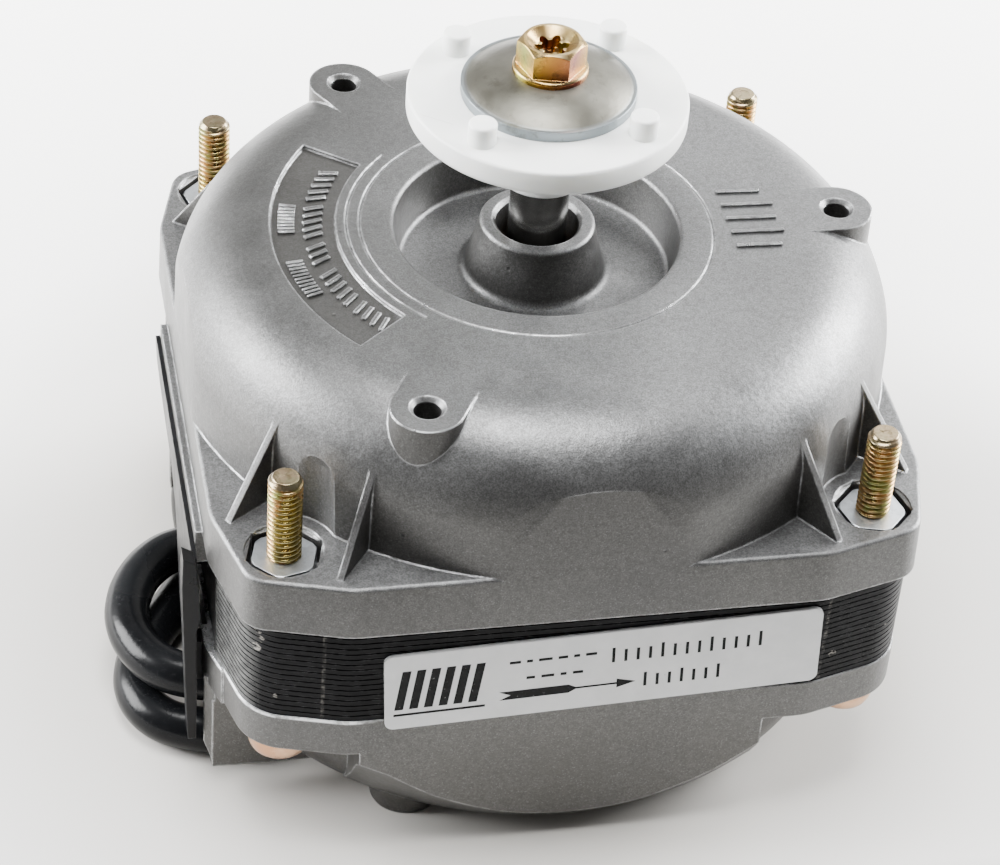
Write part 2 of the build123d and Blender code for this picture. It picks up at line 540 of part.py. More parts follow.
# ------------------------------------------------------------------ lead
coil_x, coil_y, coil_R, coil_z = 12.0, 77.5, 28.0, 3.0
tail_z = 8.55          # the last turn lies on the two below it
zt = 2.82
route = [
    (gland_x, gland_y, gland_z),
    (-37.2, -19.6, 8.7),
    (-42.0, -18.9, 8.6),
    (-46.6, -16.6, 8.55),
    (-49.6, -11.2, 8.55),
    (-49.9, -5.2, 8.55),
    (-47.5, 0.9, 8.6),
    (-42.9, 5.0, 8.7),
    (-37.2, 4.6, 8.6),
    (-33.4, 0.3, 7.2),
    (-32.6, -5.6, 5.0),
    (-32.5, -11.4, 3.4),
    (-32.2, -15.6, zt),
    (-33.7, -20.3, zt),
    (-38.1, -22.8, zt),
    (-43.0, -21.8, zt),
    (-47.3, -19.5, zt),
    (-49.5, -15.0, zt),
    (-49.0, -9.6, zt),
    (-46.4, -4.2, zt),
    (-43.1, 0.6, zt),
    (-40.0, 6.0, zt),
    (-38.6, 12.0, zt),
    (-38.8, 18.2, zt),
    (-38.2, 24.6, zt),
    (-34.6, 31.2, zt),
    (-28.6, 37.4, 2.86),
    (-20.6, 42.6, 2.93),
    (-10.0, 46.2, coil_z),
]
# the tail ends the turn that lies on top, where its jacket is stripped
def on_coil(angle, z, r=None):
    q = math.radians(angle)
    r = coil_R if r is None else r
    return (coil_x + r * math.cos(q), coil_y + r * math.sin(q), z)


tail = [on_coil(150, tail_z), on_coil(163, tail_z + 0.05), on_coil(177, tail_z), on_coil(190, tail_z + 0.03), on_coil(203, tail_z)]


def route_wire(points, note):
    v = [Vector(*p) for p in points]
    radii = []
    for a, b, c in zip(v, v[1:], v[2:]):
        run = min((b - a).length, (c - b).length)
        turn = math.radians((b - a).get_angle(c - b))
        radii.append(0.45 * run / math.tan(turn / 2))
    print(note, "radii", [round(r, 1) for r in radii], "runs", [round((b - a).length, 1) for a, b in zip(v, v[1:])])
    return FilletPolyline(*points, radius=radii)


def swept(points, r, note):
    w = route_wire(points, note)
    d = w % 0
    s = sweep(Plane(origin=points[0], z_dir=d) * Circle(r), path=w)
    print(note, "length", round(w.length, 2), "volume", round(s.volume, 1), "section x length", round(math.pi * r * r * w.length, 1))
    return s, w


cord_run, w_run = swept(route, cord_r, "cord_run")
cord_tail, w_tail = swept(tail, cord_r, "cord_tail")
ring_sec = make_face(Polyline((coil_R - 5.6, 0, 1.5), (coil_R - 4.2, 0, 0.25), (coil_R + 4.2, 0, 0.25), (coil_R + 5.6, 0, 1.5),
                              (coil_R + 5.6, 0, 4.4), (coil_R + 4.2, 0, 5.65), (coil_R - 4.2, 0, 5.65), (coil_R - 5.6, 0, 4.4), close=True))
coil = revolve(ring_sec, Axis.Z)
# the top turn starts at 265 degrees and meets the tail at 150
top_sec = make_face(Polyline(*[(coil_R + 2.78 * math.cos(math.radians(a)), 0, tail_z + 2.78 * math.sin(math.radians(a)))
                               for a in range(-72, 288, 30)], close=True))
under = make_face(Polyline((coil_R - 2.2, 0, 4.5), (coil_R + 2.2, 0, 4.5), (coil_R + 2.2, 0, 7.0), (coil_R - 2.2, 0, 7.0), close=True))
top_turn = Rot(0, 0, 265) * (revolve(top_sec, Axis.Z, 244.5) + revolve(under, Axis.Z, 244.5))
coil = Pos(coil_x, coil_y, 0) * (coil + top_turn)


def stub(p, d, length, r):
    return Plane(origin=p, z_dir=d) * (Pos(0, 0, length / 2) * Cylinder(r, length))


coil = coil + stub(route[-1], w_run % 1, 20, cord_r)
back = (w_tail % 0) * -1
coil = coil + stub(tail[0], back, 1.5, cord_r)
cord_coil = coil

# the tie round both turns
tie_a = math.radians(30)
tie = extrude(Plane.XZ * make_face(Polyline((coil_R - 6.45, 0.0), (coil_R + 6.45, 0.0), (coil_R + 6.45, 5.2), (coil_R + 3.4, 11.9), (coil_R - 3.4, 11.9),
                                            (coil_R - 6.45, 5.2), close=True)), 2.2, both=True)
tie = fillet(tie.edges().filter_by(Axis.Y), 1.2)
cord_tie = (Pos(coil_x, coil_y, 0) * Rot(0, 0, 30) * tie) - cord_coil

# stripped end: three cores with crimped ferrules
end_p, end_d = Vector(*tail[-1]), w_tail % 1
side = Vector(-end_d.Y, end_d.X, 0)
cores, ferr = {}, None
core_r, core_len, fer_len = 1.15, 9.0, 6.0
for name, off, fan, up in (("brown", -1.3, -0.02, -0.7), ("blue", 1.3, 0.26, -0.7), ("earth", 0.0, 0.12, 1.25)):
    p = end_p + side * off + Vector(0, 0, up)
    d = (end_d + side * fan + Vector(0, 0, -0.06 if up < 0 else -0.02)).normalized()
    cores[name] = Plane(origin=p, z_dir=d) * (Pos(0, 0, core_len / 2) * Cylinder(core_r, core_len)) - cord_tail
    q = p + d * core_len
    f = Plane(origin=q, z_dir=d) * (Pos(0, 0, fer_len / 2) * Cylinder(0.85, fer_len))
    f = f + Plane(origin=q, z_dir=d) * (Pos(0, 0, 0.9) * Cylinder(1.35, 1.8))
    ferr = f if ferr is None else ferr + f

# the pocket's mouth and the flange clear the lead
clear, w_clear = swept(route[22:27], cord_r + 0.22, "groove")
rear_cover = rear_cover - clear

nodes = {
    "front_cover": front_cover,
    "rear_cover": rear_cover,
    "stator_stack": stator_stack,
    "shading_rings": shading_rings,
    "rotor_core": rotor_core,
    "rotor_cage": rotor_cage,
    "shaft": shaft,
    "front_bearing": front_bearing,
    "rear_bearing": rear_bearing,
    "front_bearing_retainer": front_retainer,
    "rear_bearing_retainer": rear_retainer,
    "front_oil_felt": front_felt,
    "rear_oil_felt": rear_felt,
    "front_thrust_washer": front_thrust_washer,
    "rear_thrust_washer": rear_thrust_washer,
    "through_bolts": through_bolts,
    "bolt_nuts": bolt_nuts,
    "fan_adapter": fan_adapter,
    "adapter_washer": adapter_washer,
    "adapter_screw": adapter_screw,
    "front_label": label,
    "terminal_lid": terminal_lid,
    "cord_gland": cord_gland,
    "cord_run": cord_run,
    "cord_coil": cord_coil,
    "cord_tail": cord_tail,
    "cord_tie": cord_tie,
    "core_brown": cores["brown"],
    "core_blue": cores["blue"],
    "core_earth": cores["earth"],
    "core_ferrules": ferr,
}
for n in names:
    nodes["bobbin_" + n] = bobbins[n]
    nodes["winding_" + n] = windings[n]

for name, shape in nodes.items():
    export_step(shape, "parts/" + name + ".step")
print(len(nodes), "nodes")
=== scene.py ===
import json
import math

import bmesh
import bpy
import numpy as np
from mathutils import Matrix, Vector


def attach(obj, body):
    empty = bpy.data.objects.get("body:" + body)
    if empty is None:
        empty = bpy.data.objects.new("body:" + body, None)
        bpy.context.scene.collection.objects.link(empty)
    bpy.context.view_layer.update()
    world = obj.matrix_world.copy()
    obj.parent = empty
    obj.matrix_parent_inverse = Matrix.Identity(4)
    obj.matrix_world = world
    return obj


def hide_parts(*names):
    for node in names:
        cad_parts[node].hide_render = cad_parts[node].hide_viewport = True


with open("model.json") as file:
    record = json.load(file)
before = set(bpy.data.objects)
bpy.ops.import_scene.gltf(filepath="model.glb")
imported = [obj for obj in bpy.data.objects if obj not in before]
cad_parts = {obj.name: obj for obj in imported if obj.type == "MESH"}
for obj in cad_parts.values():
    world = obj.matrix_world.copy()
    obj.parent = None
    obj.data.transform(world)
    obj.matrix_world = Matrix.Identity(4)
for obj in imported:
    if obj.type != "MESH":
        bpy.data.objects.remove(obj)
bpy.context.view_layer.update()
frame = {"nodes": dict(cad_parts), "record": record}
nodes = frame["nodes"]
scene = bpy.context.scene
MM = 0.001


def link(obj):
    scene.collection.objects.link(obj)
    return obj


# ------------------------------------------------------------------ camera
az, el, roll = math.radians(-13.4), math.radians(39.87), math.radians(4.62)
back = Vector((math.sin(az) * math.cos(el), -math.cos(az) * math.cos(el), math.sin(el)))
right = Vector((math.cos(az), math.sin(az), 0))
up = back.cross(right)
cx = right * math.cos(roll) + up * math.sin(roll)
cy = -right * math.sin(roll) + up * math.cos(roll)
cam = bpy.data.cameras.new("camera")
cam_obj = link(bpy.data.objects.new("camera", cam))
m = Matrix(((cx.x, cy.x, back.x), (cx.y, cy.y, back.y), (cx.z, cy.z, back.z))).to_4x4()
m.translation = Vector((-74.32, -301.66, 287.41)) * MM
cam_obj.matrix_world = m
cam.sensor_width = 36
cam.lens = 116.70
cam.clip_start = 0.01
cam.clip_end = 20
scene.camera = cam_obj

# ------------------------------------------------------------------ node helpers


class Mat:
    """A small helper to write node materials as nested calls."""

    def __init__(self, name):
        self.m = bpy.data.materials.new(name)
        self.m.use_nodes = True
        self.t = self.m.node_tree
        for n in list(self.t.nodes):
            self.t.nodes.remove(n)
        self.out = self.t.nodes.new("ShaderNodeOutputMaterial")
        self.b = self.t.nodes.new("ShaderNodeBsdfPrincipled")
        self.t.links.new(self.b.outputs[0], self.out.inputs[0])
        self.tc = self.t.nodes.new("ShaderNodeTexCoord")
        self.geo = self.t.nodes.new("ShaderNodeNewGeometry")
        self.pos = self.tc.outputs["Object"]

    def set(self, **k):
        for n, v in k.items():
            name = n.replace("_", " ")
            s = self.b.inputs[name]
            if hasattr(v, "is_output") or isinstance(v, bpy.types.NodeSocket):
                self.t.links.new(v, s)
            else:
                s.default_value = v
        return self

    def _in(self, s, v):
        if isinstance(v, bpy.types.NodeSocket):
            self.t.links.new(v, s)
        else:
            s.default_value = v

    def math(self, op, a, b=0.0, c=0.0, clamp=False):
        n = self.t.nodes.new("ShaderNodeMath")
        n.operation = op
        n.use_clamp = clamp
        self._in(n.inputs[0], a)
        self._in(n.inputs[1], b)
        if len(n.inputs) > 2:
            self._in(n.inputs[2], c)
        return n.outputs[0]

    def vmath(self, op, a, b=(0, 0, 0), scale=1.0):
        n = self.t.nodes.new("ShaderNodeVectorMath")
        n.operation = op
        self._in(n.inputs[0], a)
        self._in(n.inputs[1], b)
        if op == "SCALE":
            self._in(n.inputs["Scale"], scale)
        return n.outputs["Value"] if op in ("LENGTH", "DISTANCE", "DOT_PRODUCT") else n.outputs["Vector"]

    def noise(self, scale, detail=2.0, rough=0.5, vec=None, distortion=0.0):
        n = self.t.nodes.new("ShaderNodeTexNoise")
        n.inputs["Scale"].default_value = scale
        n.inputs["Detail"].default_value = detail
        n.inputs["Roughness"].default_value = rough
        n.inputs["Distortion"].default_value = distortion
        self.t.links.new(vec if vec is not None else self.pos, n.inputs["Vector"])
        return n.outputs[0]

    def voronoi(self, scale, feature="F1", vec=None, out="Distance"):
        n = self.t.nodes.new("ShaderNodeTexVoronoi")
        n.feature = feature
        n.inputs["Scale"].default_value = scale
        self.t.links.new(vec if vec is not None else self.pos, n.inputs["Vector"])
        return n.outputs[out]

    def ramp(self, fac, stops, interp="LINEAR"):
        n = self.t.nodes.new("ShaderNodeValToRGB")
        n.color_ramp.interpolation = interp
        e = n.color_ramp.elements
        e[0].position, e[0].color = stops[0][0], (*self._c(stops[0][1]), 1)
        e[1].position, e[1].color = stops[-1][0], (*self._c(stops[-1][1]), 1)
        for p, c in stops[1:-1]:
            x = e.new(p)
            x.color = (*self._c(c), 1)
        self._in(n.inputs[0], fac)
        return n.outputs[0]

    @staticmethod
    def _c(c):
        return (c, c, c) if isinstance(c, (int, float)) else tuple(c)

    def mix(self, fac, a, b):
        n = self.t.nodes.new("ShaderNodeMix")
        n.data_type = "RGBA"
        self._in(n.inputs[0], fac)
        for s, v in ((n.inputs[6], a), (n.inputs[7], b)):
            if isinstance(v, bpy.types.NodeSocket):
                self.t.links.new(v, s)
            else:
                s.default_value = (*self._c(v), 1)
        return n.outputs[2]

    def xyz(self, vec=None):
        n = self.t.nodes.new("ShaderNodeSeparateXYZ")
        self.t.links.new(vec if vec is not None else self.pos, n.inputs[0])
        return n.outputs[0], n.outputs[1], n.outputs[2]

    def combine(self, x, y, z):
        n = self.t.nodes.new("ShaderNodeCombineXYZ")
        for s, v in zip(n.inputs, (x, y, z)):
            self._in(s, v)
        return n.outputs[0]

    def bump(self, height, strength=0.3, dist=0.0002, normal=None):
        n = self.t.nodes.new("ShaderNodeBump")
        n.inputs["Strength"].default_value = strength
        n.inputs["Distance"].default_value = dist
        self._in(n.inputs["Height"], height)
        if normal is not None:
            self.t.links.new(normal, n.inputs["Normal"])
        return n.outputs[0]

    def bevel(self, radius, samples=4):
        n = self.t.nodes.new("ShaderNodeBevel")
        n.samples = samples
        n.inputs[0].default_value = radius
        return n.outputs[0]

    def edge(self, radius, lo=0.02, hi=0.16):
        """1 on edges within about radius, 0 on faces."""
        d = self.vmath("DOT_PRODUCT", self.bevel(radius), self.geo.outputs["Normal"])
        d = self.math("SUBTRACT", 1.0, d)
        n = self.t.nodes.new("ShaderNodeMapRange")
        n.inputs[1].default_value = lo
        n.inputs[2].default_value = hi
        n.clamp = True
        self._in(n.inputs[0], d)
        return n.outputs[0]

    def maprange(self, v, a, b, c, d):
        n = self.t.nodes.new("ShaderNodeMapRange")
        n.clamp = True
        self._in(n.inputs[0], v)
        for i, x in enumerate((a, b, c, d)):
            n.inputs[i + 1].default_value = x
        return n.outputs[0]


def die_cast():
    M = Mat("die_cast_aluminium")
    x, y, z = M.xyz()
    grain = M.noise(5200, 2.0, 0.6)
    cloud = M.noise(130, 4.0, 0.6)
    flow = M.noise(38, 3.0, 0.5)
    speck = M.voronoi(7600, out="Color")
    sx, _, _ = M.xyz(speck)
    painted_glint = M.maprange(sx, 0.90, 1.0, 0.0, 1.0)
    # painted light: upward-facing faces get a lighter base colour than the outward draft faces
    nz = M.xyz(M.geo.outputs["Normal"])[2]
    painted_top_light = M.maprange(nz, 0.05, 0.75, 0.0, 1.0)
    base = M.mix(painted_top_light, (0.122, 0.120, 0.116), (0.185, 0.187, 0.190))
    # painted shade: darker towards the floor on the lower rear cover
    painted_low_shade = M.maprange(z, 0.012, 0.022, 1.0, 0.0)
    base = M.mix(M.math("MULTIPLY", painted_low_shade, 0.6), base, (0.075, 0.072, 0.067))
    base = M.mix(M.maprange(cloud, 0.38, 0.64, 0.0, 0.4), base, M.mix(painted_top_light, (0.15, 0.147, 0.144), (0.215, 0.218, 0.222)))
    base = M.mix(M.maprange(flow, 0.5, 0.7, 0.0, 0.35), base, (0.088, 0.088, 0.090))
    base = M.mix(M.maprange(M.noise(1700, 3.0, 0.65), 0.42, 0.66, 0.0, 0.42), base, (0.062, 0.061, 0.059))
    base = M.mix(M.maprange(grain, 0.38, 0.64, 0.0, 0.62), base, (0.060, 0.059, 0.057))
    # painted glints: sparse bright specks mixed into the base colour
    base = M.mix(M.math("MULTIPLY", painted_glint, 0.16), base, (0.40, 0.41, 0.42))
    pit = M.maprange(M.voronoi(210), 0.02, 0.07, 1.0, 0.0)
    pit = M.math("MULTIPLY", pit, M.maprange(M.noise(60, 1.0), 0.55, 0.6, 0.0, 1.0))
    base = M.mix(M.math("MULTIPLY", pit, 0.8), base, (0.04, 0.04, 0.042))
    shade = M.math("MULTIPLY", M.maprange(M.math("ADD", x, M.math("MULTIPLY", y, -0.35)), -0.036, 0.004, 1.0, 0.0), M.maprange(z, 0.0530, 0.0585, 0.0, 1.0))
    base = M.mix(M.math("MULTIPLY", shade, 0.62), base, (0.040, 0.039, 0.036))
    # painted shade: the sunk panel is darkened
    rr = M.math("SQRT", M.math("ADD", M.math("MULTIPLY", x, x), M.math("MULTIPLY", y, y)))
    panel_shade_mask = M.math("MULTIPLY", M.math("MULTIPLY", M.maprange(rr, 0.0236, 0.0240, 0.0, 1.0), M.maprange(rr, 0.0314, 0.0317, 1.0, 0.0)),
                     M.math("MULTIPLY", M.maprange(x, -0.0195, -0.0190, 1.0, 0.0), M.maprange(z, 0.0596, 0.06, 1.0, 0.0)))
    panel_shade_mask = M.math("MULTIPLY", panel_shade_mask, M.maprange(z, 0.0592, 0.0595, 0.0, 1.0))
    base = M.mix(M.math("MULTIPLY", panel_shade_mask, 0.85), base, (0.036, 0.034, 0.030))
    # rubbed edges and the flash at the parting line are made bright: partly real wear, partly painted edge highlight
    soft = M.bevel(0.00034, 3)
    edge = M.maprange(M.math("SUBTRACT", 1.0, M.vmath("DOT_PRODUCT", soft, M.geo.outputs["Normal"])), 0.01, 0.10, 0.0, 1.0)
    wear_and_edge_highlight = M.math("MULTIPLY", edge, M.maprange(M.noise(420, 3.0, 0.7), 0.40, 0.60, 0.25, 1.0))
    flash_line_highlight = M.math("MULTIPLY", M.maprange(M.math("ABSOLUTE", M.math("SUBTRACT", z, 0.02175)), 0.00016, 0.00034, 1.0, 0.0),
                   M.math("MULTIPLY", M.maprange(x, -0.024, -0.027, 0.0, 1.0), M.maprange(M.noise(650, 3.0, 0.7), 0.36, 0.52, 0.25, 1.0)))
    wear_and_edge_highlight = M.math("MAXIMUM", wear_and_edge_highlight, flash_line_highlight)
    base = M.mix(wear_and_edge_highlight, base, (0.70, 0.71, 0.72))
    rough = M.maprange(cloud, 0.3, 0.7, 0.34, 0.50)
    rough = M.math("SUBTRACT", rough, M.math("MULTIPLY", wear_and_edge_highlight, 0.12))
    h = M.math("ADD", M.math("MULTIPLY", grain, 0.35), M.math("MULTIPLY", M.noise(1100, 3.0), 0.7))
    h = M.math("SUBTRACT", h, M.math("MULTIPLY", pit, 2.0))
    n = M.bump(h, 0.30, 0.00018, soft)
    M.set(Base_Color=base, Metallic=0.82, Roughness=rough, Normal=n)
    return M.m


def lamination():
    M = Mat("black_varnished_stack")
    x, y, z = M.xyz()
    drip = M.noise(90, 3.0, vec=M.vmath("MULTIPLY", M.pos, (1, 1, 0.25)))
    ripple = M.noise(620, 3.0, 0.6, vec=M.vmath("MULTIPLY", M.pos, (1, 1, 3.0)))
    base = M.mix(M.maprange(drip, 0.45, 0.65, 0.0, 1.0), (0.004, 0.004, 0.0045), (0.009, 0.009, 0.010))
    nx = M.xyz(M.geo.outputs["Normal"])[0]
    lit = M.math("MULTIPLY", M.maprange(nx, -0.62, -0.86, 0.0, 1.0), M.maprange(y, -0.020, -0.026, 0.0, 1.0))
    base = M.mix(M.math("MULTIPLY", lit, M.maprange(M.noise(700, 3.0, 0.6), 0.35, 0.65, 0.45, 1.0)), base, (0.085, 0.085, 0.083))
    # painted highlight: lighter colour along the plate edges
    edge = M.edge(0.00018, 0.03, 0.35)
    base = M.mix(M.math("MULTIPLY", edge, M.maprange(M.noise(900, 2.0), 0.5, 0.66, 0.0, 0.5)), base, (0.16, 0.16, 0.165))
    chips = None
    for (px, py, pz, r) in ((-37.6, -37.8, 34.0, 0.8), (-37.3, -38.2, 33.1, 0.8), (-37.7, -37.7, 31.6, 1.0), (-35.7, -39.2, 24.8, 0.5), (28.6, -41.2, 33.1, 0.6),
                            (30.0, -40.8, 25.6, 0.9), (36.9, -38.5, 27.5, 0.4), (-40.5, -31.0, 34.6, 0.6)):
        d = M.vmath("DISTANCE", M.pos, (px * MM, py * MM, pz * MM))
        c = M.maprange(d, r * MM * 0.5, r * MM * 1.25, 1.0, 0.0)
        chips = c if chips is None else M.math("MAXIMUM", chips, c)
    streak = M.noise(3600, 2.0, 0.6, vec=M.vmath("MULTIPLY", M.pos, (0.3, 0.3, 1.0)))
    chip = M.maprange(M.math("MULTIPLY", chips, streak), 0.48, 0.56, 0.0, 1.0)
    # a weld line down each side of the front face
    for wx in (-30.4, 28.6):
        line = M.maprange(M.math("ABSOLUTE", M.math("SUBTRACT", x, wx * MM)), 0.0001, 0.00028, 1.0, 0.0)
        line = M.math("MULTIPLY", line, M.maprange(y, -0.040, -0.0395, 1.0, 0.0))
        line = M.math("MULTIPLY", line, M.maprange(M.noise(1300, 2.0), 0.50, 0.62, 0.12, 1.0))
        chip = M.math("MAXIMUM", chip, M.math("MULTIPLY", line, 0.45))
    base = M.mix(M.math("MULTIPLY", chip, 0.7), base, (0.34, 0.32, 0.29))
    rough = M.maprange(drip, 0.3, 0.7, 0.22, 0.38)
    n = M.bump(M.math("ADD", ripple, drip), 0.22, 0.00018)
    M.set(Base_Color=base, Metallic=0.0, Roughness=rough, Normal=n, Specular_IOR_Level=0.07)
    return M.m


def nylon():
    M = Mat("white_nylon")
    x, y, z = M.xyz()
    n1 = M.noise(160, 3.0)
    base = M.mix(M.maprange(n1, 0.4, 0.65, 0.0, 1.0), (0.80, 0.815, 0.80), (0.86, 0.87, 0.85))
    # knit line of the moulding and a fine scratch
    ax, ay, bx, by = -15.4 * MM, -3.2 * MM, -11.9 * MM, -5.6 * MM
    dx, dy = bx - ax, by - ay
    L = math.hypot(dx, dy)
    u = M.math("ADD", M.math("MULTIPLY", M.math("SUBTRACT", x, ax), dx / L), M.math("MULTIPLY", M.math("SUBTRACT", y, ay), dy / L))
    v = M.math("ADD", M.math("MULTIPLY", M.math("SUBTRACT", x, ax), -dy / L), M.math("MULTIPLY", M.math("SUBTRACT", y, ay), dx / L))
    s = M.math("MULTIPLY", M.maprange(M.math("ABSOLUTE", v), 0.00003, 0.00012, 1.0, 0.0),
               M.math("MULTIPLY", M.maprange(u, 0.0, 0.0003, 0.0, 1.0), M.maprange(u, L - 0.0003, L, 1.0, 0.0)))
    base = M.mix(M.math("MULTIPLY", s, 0.35), base, (0.42, 0.42, 0.41))
    soil = M.maprange(M.noise(75, 4.0, 0.6), 0.58, 0.74, 0.0, 0.16)
    base = M.mix(soil, base, (0.55, 0.53, 0.47))
    h = M.math("SUBTRACT", M.math("MULTIPLY", M.noise(900, 2.0), 0.3), M.math("MULTIPLY", s, 1.2))
    n = M.bump(h, 0.12, 0.00012, M.bevel(0.0002))
    M.set(Base_Color=base, Roughness=M.maprange(n1, 0.3, 0.7, 0.30, 0.42), Normal=n, Subsurface_Weight=0.35, Subsurface_Radius=(1.0, 0.95, 0.85),
          Subsurface_Scale=0.0016, IOR=1.5)
    return M.m


def plated(name, lo, hi, rough=(0.22, 0.4), tint=None, bump=0.12, edge_highlight_col=None, scale=240):
    M = Mat(name)
    n1 = M.noise(scale, 4.0, 0.6)
    n2 = M.noise(scale * 7, 3.0, 0.6)
    base = M.mix(M.maprange(n1, 0.35, 0.65, 0.0, 1.0), lo, hi)
    if tint is not None:
        t = M.noise(95, 2.0, 0.5, distortion=0.6)
        base = M.mix(M.maprange(t, 0.42, 0.62, 0.0, 0.75), base, M.ramp(M.noise(60, 2.0), tint))
    base = M.mix(M.maprange(n2, 0.5, 0.7, 0.0, 0.35), base, tuple(c * 0.55 for c in lo))
    # painted highlight: the edges get a lighter colour
    if edge_highlight_col is not None:
        e = M.edge(0.00022, 0.02, 0.2)
        base = M.mix(M.math("MULTIPLY", e, 0.7), base, edge_highlight_col)
    n = M.bump(M.math("ADD", n1, n2), bump, 0.0001, M.bevel(0.00015))
    M.set(Base_Color=base, Metallic=1.0, Roughness=M.maprange(n2, 0.3, 0.7, *rough), Normal=n)
    return M.m


def washer_mat():
    M = Mat("washer_steel")
    x, y, z = M.xyz()
    r = M.math("SQRT", M.math("ADD", M.math("MULTIPLY", x, x), M.math("MULTIPLY", y, y)))
    ang = M.math("ARCTAN2", y, x)
    brushed = M.noise(1.0, 3.0, 0.6, vec=M.combine(M.math("MULTIPLY", r, 3500), M.math("MULTIPLY", ang, 6), 0.0))
    cloud = M.noise(170, 3.0)
    base = M.mix(M.maprange(cloud, 0.35, 0.65, 0.0, 1.0), (0.105, 0.100, 0.082), (0.17, 0.165, 0.14))
    base = M.mix(M.maprange(r, 0.0094, 0.0101, 0.0, 0.7), base, (0.26, 0.30, 0.33))
    stain = M.maprange(M.noise(420, 4.0, 0.7), 0.56, 0.7, 0.0, 0.5)
    base = M.mix(stain, base, (0.07, 0.066, 0.052))
    n = M.bump(M.math("ADD", brushed, M.noise(1500, 2.0)), 0.16, 0.0001, M.bevel(0.0002))
    M.set(Base_Color=base, Metallic=0.9, Roughness=M.maprange(cloud, 0.3, 0.7, 0.34, 0.46), Normal=n)
    return M.m


def screw_mat():
    M = Mat("gold_chromate_screw")
    x, y, z = M.xyz()
    ang = M.math("ARCTAN2", y, x)
    # iridescent film: the hue drifts round the head
    t = M.math("FRACT", M.math("ADD", M.math("MULTIPLY", ang, 0.32), M.math("ADD", 0.53, M.math("MULTIPLY", M.noise(150, 2.0), 0.35))))
    side = M.ramp(t, [(0.0, (0.40, 0.19, 0.03)), (0.2, (0.30, 0.12, 0.035)), (0.4, (0.19, 0.055, 0.04)), (0.6, (0.34, 0.18, 0.03)),
                      (0.8, (0.24, 0.24, 0.045)), (1.0, (0.40, 0.20, 0.03))])
    topc = M.mix(M.maprange(M.noise(320, 3.0), 0.4, 0.62, 0.0, 1.0), (0.34, 0.23, 0.085), (0.42, 0.33, 0.17))
    nz = M.xyz(M.geo.outputs["Normal"])[2]
    base = M.mix(M.maprange(nz, 0.3, 0.9, 0.0, 1.0), side, topc)
    dirt = M.maprange(M.noise(900, 3.0, 0.7), 0.56, 0.68, 0.0, 0.55)
    base = M.mix(dirt, base, (0.06, 0.035, 0.018))
    n = M.bump(M.noise(700, 3.0), 0.14, 0.0001, M.bevel(0.0002))
    M.set(Base_Color=base, Metallic=1.0, Roughness=M.maprange(M.noise(240, 3.0), 0.3, 0.7, 0.18, 0.34), Normal=n)
    return M.m


def stud_mat():
    M = Mat("yellow_zinc_thread")
    x, y, z = M.xyz()
    t = M.noise(210, 3.0, 0.6, distortion=0.4)
    base = M.ramp(t, [(0.25, (0.42, 0.29, 0.085)), (0.42, (0.36, 0.30, 0.11)), (0.52, (0.42, 0.24, 0.10)), (0.62, (0.27, 0.28, 0.09)), (0.78, (0.36, 0.20, 0.10))])
    tip = M.maprange(z, 0.0526, 0.0532, 0.0, 1.0)
    base = M.mix(M.math("MULTIPLY", tip, 0.8), base, (0.20, 0.17, 0.12))
    dirt = M.maprange(M.noise(1500, 3.0, 0.7), 0.50, 0.64, 0.0, 0.45)
    base = M.mix(dirt, base, (0.10, 0.07, 0.025))
    head = M.maprange(z, 0.0165, 0.0175, 1.0, 0.0)
    base = M.mix(head, base, M.mix(M.maprange(t, 0.4, 0.6, 0.0, 1.0), (0.46, 0.25, 0.14), (0.56, 0.35, 0.22)))
    n = M.bump(M.noise(1100, 3.0), 0.12, 0.0001)
    M.set(Base_Color=base, Metallic=0.95, Roughness=M.maprange(t, 0.3, 0.7, 0.20, 0.36), Normal=n)
    return M.m


def plastic(name, lo, hi, rough=(0.28, 0.42), scale=260, bump=0.12, fine=1600, edge_highlight_col=None, spec=0.5):
    M = Mat(name)
    n1 = M.noise(scale, 3.0, 0.6)
    base = M.mix(M.maprange(n1, 0.35, 0.65, 0.0, 1.0), lo, hi)
    # painted highlight: the edges get a lighter colour
    if edge_highlight_col is not None:
        e = M.edge(0.0002, 0.03, 0.3)
        e = M.math("MULTIPLY", e, M.maprange(M.noise(500, 2.0), 0.45, 0.6, 0.1, 1.0))
        base = M.mix(M.math("MULTIPLY", e, 0.8), base, edge_highlight_col)
    n = M.bump(M.math("ADD", M.noise(fine, 2.0), n1), bump, 0.0001, M.bevel(0.00018))
    M.set(Base_Color=base, Roughness=M.maprange(n1, 0.3, 0.7, *rough), Normal=n, Specular_IOR_Level=spec)
    return M.m


def jacket():
    M = Mat("black_pvc_sheath")
    n1 = M.noise(110, 3.0, 0.5)
    dust = M.maprange(M.noise(1900, 3.0, 0.7), 0.58, 0.72, 0.0, 0.30)
    base = M.mix(M.maprange(n1, 0.35, 0.65, 0.0, 1.0), (0.003, 0.0032, 0.0037), (0.0055, 0.006, 0.0068))
    base = M.mix(M.math("MULTIPLY", dust, 0.5), base, (0.05, 0.05, 0.05))
    n = M.bump(M.math("ADD", M.math("MULTIPLY", n1, 1.6), M.noise(1300, 2.0)), 0.10, 0.0002)
    M.set(Base_Color=base, Roughness=M.maprange(n1, 0.3, 0.7, 0.20, 0.30), Normal=n, Specular_IOR_Level=0.13)
    return M.m


